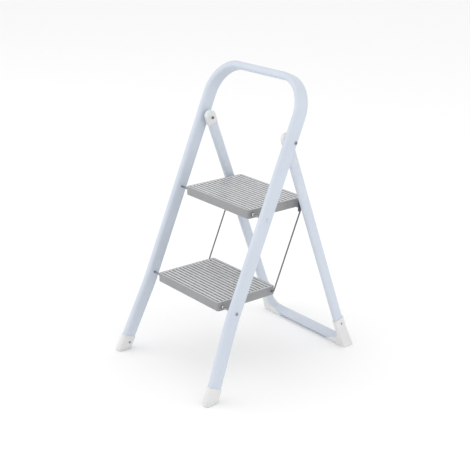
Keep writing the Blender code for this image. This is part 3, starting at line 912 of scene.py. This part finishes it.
def trayBody():
    # up the inside from under the seat, out over the bottom edge, then up the skirt to the rim
    wall = tread["wall"]
    rim = tread["rim"]
    soft = tread["skirtRound"]
    top = tread["top"]
    bottom = tread["bottom"]
    seat = top - tread["matThickness"] - 0.0003
    levels = [
        (wall + 0.0016, seat - wall),
        (wall + 0.0005, seat - wall - 0.0005),
        (wall, seat - wall - 0.0016),
        (wall, bottom + 0.0030),
        (wall + 0.0008, bottom + 0.0016),
        (wall + 0.0008, bottom + 0.0006),
        (wall + 0.0002, bottom),
        (0.0006, bottom),
        (0.0, bottom + 0.0006),
        (0.0, top - soft),
        (soft * 0.29, top - soft * 0.29),
        (soft * 0.8, top),
        (rim, top),
        (rim + 0.0002, top - 0.0004),
        (rim + 0.0002, seat),
    ]
    return loft([treadRing(inset, height) for inset, height in levels])


def treadPieces(level, axle):
    body = level + "_tread"
    middle = axle + Vector((0, tread["front"] + tread["depth"] / 2, 0))
    shell = pieceFrom(level + "_tread_shell", trayBody(), "trayGrey", Matrix.Translation(middle))
    settle(shell, body, "tread_tray", level + "_tread_tray")

    inset = 2 * (tread["rim"] + 0.0003)
    inputs = {
        "Width": 2 * tread["halfWidth"] - inset,
        "Depth": tread["depth"] - inset,
        "Corner": tread["corner"] - inset / 2,
        "Thickness": tread["matThickness"],
        "Material": materials["ribRubber"],
    }
    place = Matrix.Translation(middle + Vector((0, 0, tread["top"])))
    mat = bakeTree(level + "_ribbed_mat", matTree, {**ribs, **inputs}, place=place)
    settle(mat, body, "ribbed_mat", level + "_tread_mat")

    inputs = {
        "Bar Width": tread["webWidth"],
        "Bar Length": tread["depth"] - 2 * tread["wall"],
        "Bar Height": tread["webHeight"],
        "Pitch": tread["webPitch"],
        "Count": tread["webCount"],
        "Material": materials["trayGrey"],
    }
    webTop = tread["top"] - tread["matThickness"] - tread["wall"]
    place = Matrix.Translation(middle + Vector((0, 0, webTop - tread["webHeight"] / 2)))
    webs = bakeTree(level + "_tread_webs", barTree, inputs, place=place)
    settle(webs, body, "tread_tray")


treadPieces("lower", lowerAxle)
treadPieces("upper", upperAxle)
print("treads made")


# ---- feet, shoes and caps of milky plastic ----

foot = {
    # half width, half depth, corner, up the leg, how far the ring follows the floor
    "rings": [
        (0.0078, 0.0150, 0.0052, 0.0000, 1.0),
        (0.0092, 0.0174, 0.0064, 0.0003, 1.0),
        (0.0102, 0.0194, 0.0073, 0.0012, 1.0),
        (0.0109, 0.0208, 0.0079, 0.0027, 1.0),
        (0.0112, 0.0216, 0.0082, 0.0046, 1.0),
        (0.0113, 0.0217, 0.0083, 0.0060, 0.95),
        (0.0107, 0.0211, 0.0079, 0.0063, 0.94),
        (0.0107, 0.0211, 0.0079, 0.0073, 0.92),
        (0.0113, 0.0217, 0.0084, 0.0075, 0.91),
        (0.0113, 0.0216, 0.0085, 0.0094, 0.86),
        (0.0107, 0.0210, 0.0081, 0.0097, 0.84),
        (0.0107, 0.0210, 0.0081, 0.0107, 0.82),
        (0.0113, 0.0216, 0.0086, 0.0109, 0.80),
        (0.0114, 0.0213, 0.0089, 0.0170, 0.45),
        (0.0114, 0.0210, 0.0092, 0.0260, 0.0),
        (0.0113, 0.0208, 0.0091, 0.0415, 0.0),
        (0.0112, 0.0207, 0.0090, 0.0430, 0.0),
        (0.0108, 0.0203, 0.0087, 0.0438, 0.0),
        (0.0102, 0.0197, 0.0084, 0.0440, 0.0),
        (0.0098, 0.0193, 0.0082, 0.0436, 0.0),
        (0.0096, 0.0191, 0.0081, 0.0410, 0.0),
    ],
    "screwAlong": 0.0260,
    "screwBehind": 0.0040,
    "screwInside": 0.0118,
}


def footBody(side):
    rings = []
    for halfWidth, halfDepth, corner, up, level in foot["rings"]:
        ring = []
        for p in boxOutline(halfWidth, halfDepth, corner, 8):
            along = up + p.y * math.sin(frontLean) * level
            behind = p.y * (1 + (math.cos(frontLean) - 1) * level)
            x = legX(0.0) + p.x - frontTube["spreadSlope"] * along
            ring.append((side * x, along, -behind))
        rings.append(ring)
    return loft(rings)


shoe = {
    "top": 0.0800,
    "halfDepth": 0.0170,
    "innerX": 0.1529,
    "outerX": 0.1695,
    "edge": 0.0052,
    "rise": 0.0058,
    "screwUp": 0.0640,
    "screwFront": -0.0020,
}


def shoeRing(inset, depth):
    # open on the inner side of the bend, where its edge is rounder than outside
    inner = inset * 1.5
    corners = [
        (shoe["outerX"] - inset, shoe["top"], 0.0010),
        (shoe["innerX"] + inner, shoe["top"], 0.0010),
        (shoe["innerX"] + inner, 0.0071 - inner, 0.0229 + inner),
        (0.1240 + inset, 0.0071 - inner, 0.0060),
        (0.0990 + inset, -0.0060, 0.0030),
        (0.0990 + inset, -0.0260, 0.0030),
        (0.1765 - inset, -0.0260, 0.0110),
        (0.1777 - inset, -0.0080, 0.0200),
        (shoe["outerX"] - inset, 0.0420, 0.0600),
    ]
    return [(p.x, crossbarY + p.y, depth) for p in roundedOutline(corners, 10)]


def shoeBody(side):
    # a softly edged block in the rear frame's plane, cut off level at the floor
    half = shoe["halfDepth"]
    data = loft(softRings(shoeRing, -half, half, shoe["edge"], shoe["rise"], 8))
    bmesh.ops.scale(data, vec=(side, 1, 1), verts=data.verts)
    data.transform(rearPlane)
    whole = data.verts[:] + data.edges[:] + data.faces[:]
    cut = bmesh.ops.bisect_plane(data, geom=whole, plane_co=(0, 0, 0), plane_no=(0, 0, 1), clear_inner=True)
    rim = [edge for edge in cut["geom_cut"] if isinstance(edge, bmesh.types.BMEdge)]
    bmesh.ops.contextual_create(data, geom=rim)
    return data


cap = {
    "half": 0.0160,
    "below": 0.0190,
    "thickness": 0.0186,
    "edge": 0.0072,
    "rise": 0.0059,
    "domeUp": 0.0045,
}


def capRing(inset, depth):
    half = cap["half"] - inset
    low = -cap["below"] + inset / 2
    corners = [
        (-half, low, 0.0014),
        (half, low, 0.0014),
        (half, cap["domeUp"] + half, half - 0.0001),
        (-half, cap["domeUp"] + half, half - 0.0001),
    ]
    return [(p.x, p.y, depth) for p in roundedOutline(corners, 16)]


def capBody():
    half = cap["thickness"] / 2
    return loft(softRings(capRing, -half, half, cap["edge"], cap["rise"], 9))


for word, side in sides.items():
    boot = pieceFrom("front_boot_" + word, footBody(side), "milkyPlastic", frontPlane)
    settle(boot, "front", "pale_plastic", "front_foot_" + word)
    elbow = pieceFrom("rear_elbow_" + word, shoeBody(side), "milkyPlastic")
    settle(elbow, "rear", "pale_plastic", "rear_shoe_" + word)
    capPlace = sidePlane(rearPivot + Vector((side * rearTube["halfSpan"], 0, 0)), rearLean)
    knuckle = pieceFrom("rear_knuckle_" + word, capBody(), "milkyPlastic", capPlace)
    settle(knuckle, "rear", "pale_plastic", "rear_cap_" + word)
print("plastic feet, elbows and knuckles made")


# ---- hooks beside the upper tread ----

hook = {
    "sheet": 0.0024,
    "clear": 0.0003,
    "edge": 0.0005,
    "mouthPlay": 0.0004,
    "rivets": ((0.1560, 0.0058), (0.1735, 0.0058)),
}


def hookBody(side):
    # side view from the upper axle; the mouth sits over the rear rod
    y = rearRod.y - upperAxle.y
    z = rearRod.z - upperAxle.z
    seat = rods["radius"] + hook["mouthPlay"]
    corners = [
        (y - 0.0158, 0.0092, 0.0030),
        (y - 0.0158, -0.0110, 0.0040),
        (y - 0.0180, -0.0150, 0.0030),
        (y - 0.0178, z - 0.0055, 0.0030),
        (y - 0.0095, z - 0.0055, 0.0012),
        (y - seat, z + seat, seat - 0.0001),
        (y + seat, z + seat, seat - 0.0001),
        (y + seat, z - 0.0062, 0.0010),
        (y + 0.0080, z - 0.0062, 0.0015),
        (y + 0.0085, 0.0092, 0.0040),
    ]
    low = tread["halfWidth"] + hook["clear"]
    ends = sorted((side * low, side * (low + hook["sheet"])))
    return pillowPlate(roundedOutline(corners, 6), ends[0], ends[1], hook["edge"], 3)


for word, side in sides.items():
    piece = pieceFrom("rest_hook_" + word, hookBody(side), "hookPaint", sidePlane(upperAxle))
    settle(piece, "upper_tread", "hook_steel", "hook_plate_" + word)
print("hooks made")


# ---- screws, rivets, bushes and nuts ----

fastener = {
    # head radius, head height, shank radius, shank length
    "plasticScrew": (0.0031, 0.0013, 0.0013, 0.0055),
    "pivotBolt": (0.0045, 0.0024, 0.0030, 0.0420),
    "axleButton": (0.0042, 0.0023, 0.0030, 0.0004),
    "pivotNut": (0.0040, 0.0034, 0.0028, 0.0004),
    "hookRivet": (0.0029, 0.0012, 0.0013, 0.0045),
    # outer radius, inner radius, length, edge
    "axleBush": (0.0044, 0.0031, 0.0051, 0.0004),
    # the dark ring round each bush, painted shade of the hole
    "axleShadeRing": (0.0056, 0.0046, 0.0010, 0.0002),
    "gap": 0.0003,
    "turn": 3.0,
}
frontOuter = frontTube["halfSpan"] + frontTube["width"] / 2 + fastener["gap"]


def onBothSides(x, y, z, facing=1):
    # the same spot on the left and on the right, facing outwards or, at -1, inwards
    return [((side * x, y, z), (side * facing, 0, 0)) for side in (-1, 1)]


def domedPart(kind, material):
    return pieceFrom(kind, turnedPart(domeProfile(*fastener[kind])), material)


def bothNodes(stem):
    return [stem + "_" + word for word in sides]


def plasticScrews():
    at = frontPlane @ Vector((0, foot["screwAlong"], -foot["screwBehind"]))
    splay = math.atan(frontTube["spreadSlope"])
    inside = legX(foot["screwAlong"]) - foot["screwInside"]
    spots = [
        ((side * inside, at.y, at.z), (-side * math.cos(splay), 0, -math.sin(splay))) for side in (-1, 1)
    ]
    screw = crossScrew(*fastener["plasticScrew"])
    screws = partsOn("foot_screws", screw, spots, "screwSteel", 3, fastener["turn"])
    settle(screws, "front", "fastener_steel", *bothNodes("front_foot_screw"))

    at = rearPlane @ Vector((0, crossbarY + shoe["screwUp"], shoe["screwFront"]))
    spots = onBothSides(shoe["outerX"] + 0.0002, at.y, at.z)
    screw = crossScrew(*fastener["plasticScrew"])
    screws = partsOn("elbow_screws", screw, spots, "screwSteel", 5, fastener["turn"])
    settle(screws, "rear", "fastener_steel", *bothNodes("rear_shoe_screw"))


def pivotBolts():
    spots = onBothSides(frontOuter, rearPivot.y, rearPivot.z)
    bolt = crossScrew(*fastener["pivotBolt"])
    bolts = partsOn("pivot_bolts", bolt, spots, "screwSteel", 8, fastener["turn"])
    settle(bolts, "front", "fastener_steel", *bothNodes("pivot_bolt"))


def axleEnds(level, axle, material, slotName):
    # a button on the end of the rod, and a pale bush beside the tread set in a dark ring that is painted
    # shade for the shadow of the hole round it
    spots = onBothSides(frontOuter, axle.y, axle.z)
    buttons = partsOn(level + "_axle_buttons", domedPart("axleButton", material), spots, material)
    settle(buttons, "front", slotName, *bothNodes(level + "_axle_head"))

    spots = onBothSides(tread["halfWidth"] + fastener["gap"], axle.y, axle.z)
    ring = pieceFrom("bush", washerPart(*fastener["axleBush"]), "milkyPlastic")
    bushes = partsOn(level + "_axle_bushes", ring, spots, "milkyPlastic")
    settle(bushes, "front", "pale_plastic", *bothNodes(level + "_axle_bush"))
    # the dark ring round each bush is painted shade: a near-black ring put where there is only the hole's
    # shadow
    ring = pieceFrom("seal", washerPart(*fastener["axleShadeRing"]), "paintedShadeNylon")
    shadeRings = partsOn(level + "_axle_seals", ring, spots, "paintedShadeNylon")
    settle(shadeRings, "front", "pale_plastic")


def pivotNuts():
    nutAt = rearTube["halfSpan"] - cap["thickness"] / 2 - fastener["gap"]
    spots = onBothSides(nutAt, rearPivot.y, rearPivot.z, -1)
    nuts = partsOn("pivot_nuts", domedPart("pivotNut", "hookPaint"), spots, "hookPaint")
    settle(nuts, "front", "fastener_steel", *bothNodes("pivot_nut"))


def hookRivets():
    plateFace = tread["halfWidth"] + hook["clear"] + hook["sheet"] + 0.0001
    spots = []
    for y, z in hook["rivets"]:
        spots += onBothSides(plateFace, upperAxle.y + y, upperAxle.z + z)
    rivets = partsOn("hook_rivets", domedPart("hookRivet", "screwSteel"), spots, "screwSteel")
    names = [name + "_" + number for name in bothNodes("hook_rivet") for number in ("1", "2")]
    settle(rivets, "upper_tread", "fastener_steel", *names)


plasticScrews()
pivotBolts()
axleEnds("lower", lowerAxle, "screwSteel", "fastener_steel")
axleEnds("upper", upperAxle, "powderCoat", "painted_tube")
pivotNuts()
hookRivets()
print("fasteners made")

for word in sides:
    spacer = frame["nodes"]["pivot_spacer_" + word]
    spacer.data.materials.clear()
    spacer.data.materials.append(materials["milkyPlastic"])


# ---- stage, light and camera ----

stage = {
    "floorSize": 60.0,
    "floorColour": (0.93, 0.93, 0.93, 1),
    "sky": (1.0, 1.0, 1.0, 1),
    "skyStrength": 1.0,
}
lamps = {
    # place, size, energy
    "keyLamp": ((-2.3, -3.1, 2.2), 5.0, 52.0),
    "fillLamp": ((3.6, -0.6, 1.5), 4.0, 18.0),
    "backLamp": ((2.4, 3.0, 2.8), 2.4, 12.0),
}
view = {
    "aim": (-0.1273, 0.0863, 0.2874),
    "azimuth": 51.68,
    "elevation": 19.84,
    "distance": 3.039,
    "lens": 81.2,
}


def makeFloor():
    half = stage["floorSize"] / 2
    mesh = bpy.data.meshes.new("studioFloor")
    corners = [(-half, -half, 0), (half, -half, 0), (half, half, 0), (-half, half, 0)]
    mesh.from_pydata(corners, [], [(0, 1, 2, 3)])
    floor = bpy.data.objects.new("studioFloor", mesh)
    bpy.context.scene.collection.objects.link(floor)
    material, tree, surface = newMaterial("floorPaper", {"Roughness": 0.9, "Specular IOR Level": 0.2})
    surface.inputs["Base Color"].default_value = stage["floorColour"]
    mesh.materials.append(material)


def addLamp(name, place, size, energy):
    lamp = bpy.data.lights.new(name, "AREA")
    lamp.shape = "SQUARE"
    lamp.size = size
    lamp.energy = energy
    holder = bpy.data.objects.new(name, lamp)
    bpy.context.scene.collection.objects.link(holder)
    holder.location = place
    towards = Vector((0, 0, 0.4)) - Vector(place)
    holder.rotation_euler = towards.to_track_quat("-Z", "Y").to_euler()


def makeSky():
    world = bpy.data.worlds.new("studioSky")
    world.use_nodes = True
    background = world.node_tree.nodes["Background"]
    background.inputs["Color"].default_value = stage["sky"]
    background.inputs["Strength"].default_value = stage["skyStrength"]
    bpy.context.scene.world = world


def makeCamera():
    azimuth = math.radians(view["azimuth"])
    elevation = math.radians(view["elevation"])
    level = math.cos(elevation)
    back = Vector((math.sin(azimuth) * level, -math.cos(azimuth) * level, math.sin(elevation)))
    data = bpy.data.cameras.new("camera")
    data.lens = view["lens"]
    data.sensor_width = 36.0
    camera = bpy.data.objects.new("camera", data)
    bpy.context.scene.collection.objects.link(camera)
    camera.location = Vector(view["aim"]) + back * view["distance"]
    camera.rotation_euler = back.to_track_quat("Z", "Y").to_euler()
    bpy.context.scene.camera = camera


makeFloor()
for name, (place, size, energy) in lamps.items():
    addLamp(name, place, size, energy)
makeSky()
makeCamera()
bpy.context.scene.view_settings.view_transform = "Standard"
print("stage ready")
